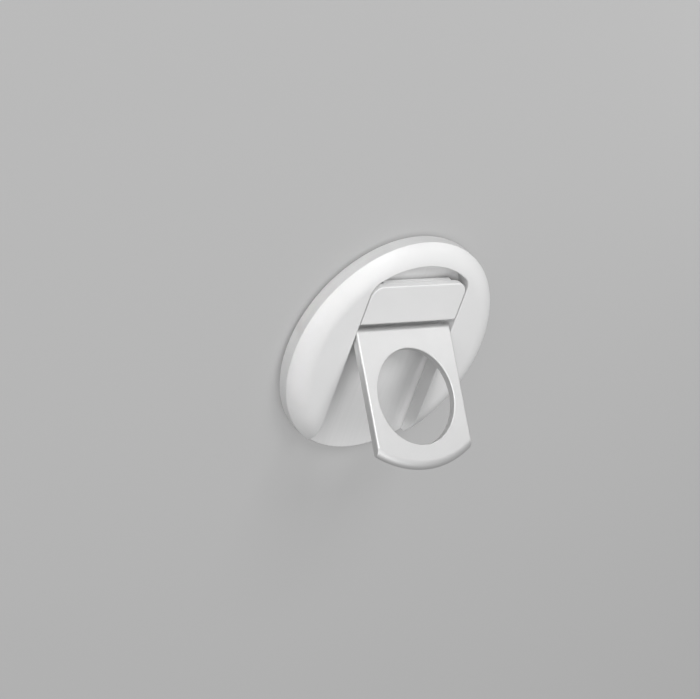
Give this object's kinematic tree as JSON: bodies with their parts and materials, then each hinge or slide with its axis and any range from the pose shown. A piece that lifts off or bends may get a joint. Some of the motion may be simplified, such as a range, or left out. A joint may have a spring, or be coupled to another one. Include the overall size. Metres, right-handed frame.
{
  "type": "laptop phone mount",
  "caption": "Round white magnetic phone mount with a domed front, a fold-out kickstand with a finger hole, and a flip-out hook that hangs it on a laptop's lid.",
  "frame": {"origin": "centre of the soft phone face, on which the mount lies", "axes": "+Z out of the domed front, +Y along the channel towards the hook plate"},
  "size_m": [0.063, 0.063, 0.0314],
  "materials": {
    "white_plastic": "satin moulded",
    "grey_plastic": "satin moulded",
    "pad_rubber": "matte",
    "black_tape": "matte",
    "magnet_nickel": "nickel plated",
    "steel": "plain",
    "leg_alloy": "blasted, pale satin",
    "block_alloy": "die cast",
    "bush_bronze": "turned"
  },
  "bodies": {
    "disc": {"front_housing": "white_plastic", "back_cover": "grey_plastic", "face_pad": "pad_rubber", "pad_tape": "black_tape", "magnet_ring": "magnet_nickel", "magnet_shield": "steel", "block_screws": "steel", "cover_screws": "steel", "hinge_block_right": "block_alloy", "hinge_block_left": "block_alloy", "kickstand_bush_right": "bush_bronze", "kickstand_bush_left": "bush_bronze", "hook_bush_right": "bush_bronze", "hook_bush_left": "bush_bronze"},
    "kickstand": {"kickstand": "leg_alloy", "kickstand_pin_right": "steel", "kickstand_pin_left": "steel"},
    "hook": {"hook_plate": "white_plastic", "hook_pad": "pad_rubber", "hook_pin_right": "steel", "hook_pin_left": "steel"}
  },
  "joints": [
    {"name": "kickstand_fold", "type": "hinge", "parent": "disc", "child": "kickstand", "pos_m": [0, 0.00559, 0.0051], "axis": [-1, 0, 0], "range_deg": [-45.7, 44.3]},
    {"name": "hook_swing", "type": "hinge", "parent": "disc", "child": "hook", "pos_m": [0, 0.011, 0.0051], "axis": [1, 0, 0], "range_deg": [0, 90]}
  ]
}
